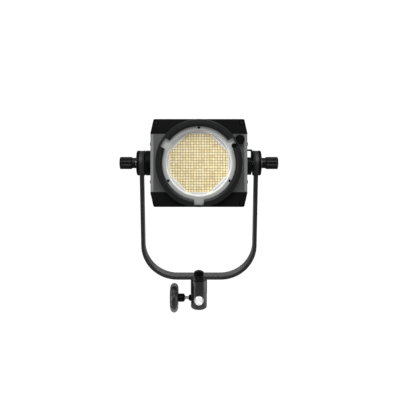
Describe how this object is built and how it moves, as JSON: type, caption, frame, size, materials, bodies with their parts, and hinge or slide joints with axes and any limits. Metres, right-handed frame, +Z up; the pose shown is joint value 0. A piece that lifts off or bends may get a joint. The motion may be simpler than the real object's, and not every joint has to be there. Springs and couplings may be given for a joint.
{
  "type": "studio led spotlight",
  "caption": "Boxy studio spotlight head with an open bayonet ring over an octagonal light source, tilting in a U-shaped yoke on a spigot receiver with a screw clamp.",
  "frame": {"origin": "centre of the spigot receiver's bottom mouth", "axes": "+Z up along the receiver, the light faces -Y, +X to the right as seen from the front"},
  "size_m": [0.271, 0.2299, 0.3575],
  "materials": {
    "charcoal_paint": "fine textured satin powder coat on steel bar",
    "charcoal_casting": "fine textured satin powder coat on cast or sheet aluminium",
    "black_paint": "fine textured satin powder coat on sheet aluminium",
    "ring_black": "black anodised, satin",
    "satin_silver": "bare satin aluminium",
    "steel": "bare turned steel",
    "heatsink_aluminium": "bare extruded aluminium",
    "dark_screw": "black oxide steel",
    "knob_black": "matt moulded nylon",
    "moulded_black": "matt moulded plastic",
    "friction_pad": "matt rubber",
    "white_plastic": "white heat-resistant plastic, satin",
    "led_phosphor": "pale yellow phosphor over a fine grid of chips",
    "clear_glass": "clear flat glass",
    "copper": "bare copper plate",
    "board_green": "solder mask",
    "brass": "bare brass",
    "screen": "gloss black display window"
  },
  "bodies": {
    "yoke": {"yoke": "charcoal_paint", "hub_cap_left": "black_paint", "hub_cap_right": "black_paint", "friction_disc_left": "friction_pad", "friction_disc_right": "friction_pad", "stand_adapter": "charcoal_casting", "yoke_saddle": "black_paint", "yoke_bolt": "dark_screw", "clamp_boss": "black_paint"},
    "head": {"top_shell": "black_paint", "bottom_shell": "black_paint", "side_panel_left": "charcoal_casting", "side_panel_right": "charcoal_casting", "front_plate": "charcoal_casting", "bayonet_ring": "ring_black", "mount_base_ring": "satin_silver", "glass_disc": "clear_glass", "reflector_frame": "white_plastic", "led_array": "led_phosphor", "heat_spreader": "copper", "heatsink": "heatsink_aluminium", "fan_frame": "moulded_black", "driver_board": "board_green", "pivot_boss_left": "black_paint", "pivot_boss_right": "black_paint", "safety_cable_loop": "black_paint", "rear_cover": "charcoal_casting", "display_window": "screen", "power_inlet": "moulded_black", "control_port": "moulded_black", "corner_screw_1": "dark_screw", "corner_screw_2": "dark_screw", "corner_screw_3": "dark_screw", "corner_screw_4": "dark_screw", "side_screw_1": "dark_screw", "side_screw_2": "dark_screw", "side_screw_3": "dark_screw", "side_screw_4": "dark_screw", "ring_screw_1": "dark_screw", "ring_screw_2": "dark_screw", "ring_screw_3": "dark_screw"},
    "mount_lock": {"lock_pin": "moulded_black", "release_tab": "moulded_black"},
    "fan_rotor": {"fan_rotor": "moulded_black"},
    "dimmer_knob": {"dimmer_knob": "knob_black"},
    "button_1": {"button_1": "moulded_black"},
    "button_2": {"button_2": "moulded_black"},
    "button_3": {"button_3": "moulded_black"},
    "power_switch": {"power_switch": "moulded_black"},
    "tilt_washer_left": {"tilt_washer_left": "steel"},
    "tilt_washer_right": {"tilt_washer_right": "steel"},
    "tilt_knob_left": {"tilt_knob_left": "knob_black", "tilt_stud_left": "steel"},
    "tilt_knob_right": {"tilt_knob_right": "knob_black", "tilt_stud_right": "steel"},
    "clamp_pad": {"clamp_pad": "brass"},
    "clamp_knob": {"clamp_knob": "knob_black", "clamp_screw": "steel"}
  },
  "joints": [
    {"name": "tilt", "type": "hinge", "parent": "yoke", "child": "head", "pos_m": [0, 0, 0.265], "axis": [1, 0, 0], "continuous": true},
    {"name": "mount_release", "type": "slide", "parent": "head", "child": "mount_lock", "axis": [0, 0.9833, -0.1822], "range_m": [0, 0.006], "stiffness_N_per_m": 600, "springref_m": -0.004},
    {"name": "fan_spin", "type": "hinge", "parent": "head", "child": "fan_rotor", "pos_m": [0, 0.03589, 0.25835], "axis": [0, 0.9833, -0.1822], "continuous": true},
    {"name": "dimmer_turn", "type": "hinge", "parent": "head", "child": "dimmer_knob", "pos_m": [-0.046, 0.11541, 0.2731], "axis": [0, 0.9833, -0.1822], "continuous": true},
    {"name": "button_1_press", "type": "slide", "parent": "head", "child": "button_1", "axis": [0, -0.9833, 0.1822], "range_m": [0, 0.0012], "stiffness_N_per_m": 900, "springref_m": -0.0008},
    {"name": "button_2_press", "type": "slide", "parent": "head", "child": "button_2", "axis": [0, -0.9833, 0.1822], "range_m": [0, 0.0012], "stiffness_N_per_m": 900, "springref_m": -0.0008},
    {"name": "button_3_press", "type": "slide", "parent": "head", "child": "button_3", "axis": [0, -0.9833, 0.1822], "range_m": [0, 0.0012], "stiffness_N_per_m": 900, "springref_m": -0.0008},
    {"name": "power_rock", "type": "hinge", "parent": "head", "child": "power_switch", "pos_m": [-0.048, 0.09613, 0.20752], "axis": [1, 0, 0], "range_deg": [0, 10]},
    {"name": "tilt_screw_left_travel", "type": "slide", "parent": "yoke", "child": "tilt_washer_left", "axis": [-1, 0, 0], "range_m": [0, 0.00397]},
    {"name": "tilt_knob_left_turn", "type": "hinge", "parent": "tilt_washer_left", "child": "tilt_knob_left", "pos_m": [-0.12, 0, 0.265], "axis": [-1, 0, 0], "range_deg": [0, 955]},
    {"name": "tilt_screw_right_travel", "type": "slide", "parent": "yoke", "child": "tilt_washer_right", "axis": [1, 0, 0], "range_m": [0, 0.00397]},
    {"name": "tilt_knob_right_turn", "type": "hinge", "parent": "tilt_washer_right", "child": "tilt_knob_right", "pos_m": [0.12, 0, 0.265], "axis": [1, 0, 0], "range_deg": [0, 955]},
    {"name": "clamp_screw_travel", "type": "slide", "parent": "yoke", "child": "clamp_pad", "axis": [1, 0, 0], "range_m": [-0.00399, 0.00549]},
    {"name": "clamp_knob_turn", "type": "hinge", "parent": "clamp_pad", "child": "clamp_knob", "pos_m": [-0.04, 0, 0.0175], "axis": [1, 0, 0], "range_deg": [-1440, 1980]}
  ],
  "couplings": [
    {"joint": "tilt_knob_left_turn", "follows": "tilt_screw_left_travel", "rad_per_m": 4188.8},
    {"joint": "tilt_knob_right_turn", "follows": "tilt_screw_right_travel", "rad_per_m": 4188.8},
    {"joint": "clamp_knob_turn", "follows": "clamp_screw_travel", "rad_per_m": 6283.2}
  ]
}
